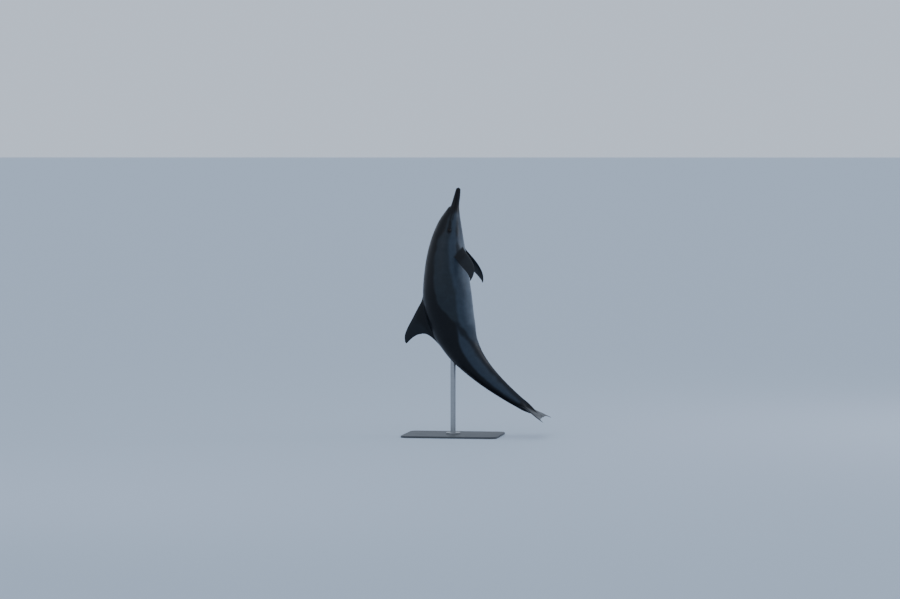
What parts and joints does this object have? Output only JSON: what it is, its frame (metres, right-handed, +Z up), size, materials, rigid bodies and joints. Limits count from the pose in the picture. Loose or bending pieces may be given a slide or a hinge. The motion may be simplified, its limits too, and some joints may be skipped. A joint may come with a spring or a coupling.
{
  "type": "common dolphin",
  "caption": "Life-size common dolphin arched in an upright leap, long slim beak, swept dorsal fin and flukes, held over a flat base by a steel rod.",
  "frame": {"origin": "centre of the underside of the stand's base, directly under the animal's centre of mass", "axes": "+Z up, towards the beak's tip; +X towards the animal's belly; +Y towards the animal's left; its back faces -X"},
  "size_m": [1.1002, 0.5769, 1.898],
  "materials": {
    "skin": "smooth wet-looking skin, charcoal back, tan-grey and light grey flanks, off-white belly",
    "eye": "wet, glossy, near black",
    "stand_plate": "fine-textured powder coat",
    "stand_steel": "brushed along its length"
  },
  "bodies": {
    "root": {"beak_upper": "skin", "jaw_lower": "skin", "melon": "skin", "head": "skin", "trunk_front": "skin", "trunk_rear": "skin", "tail_stock": "skin", "dorsal_fin": "skin", "flipper_right": "skin", "flipper_left": "skin", "fluke_right": "skin", "fluke_left": "skin", "eye_right": "eye", "eye_left": "eye", "stand_base": "stand_plate", "stand_flange": "stand_steel", "stand_rod": "stand_steel"}
  },
  "joints": []
}
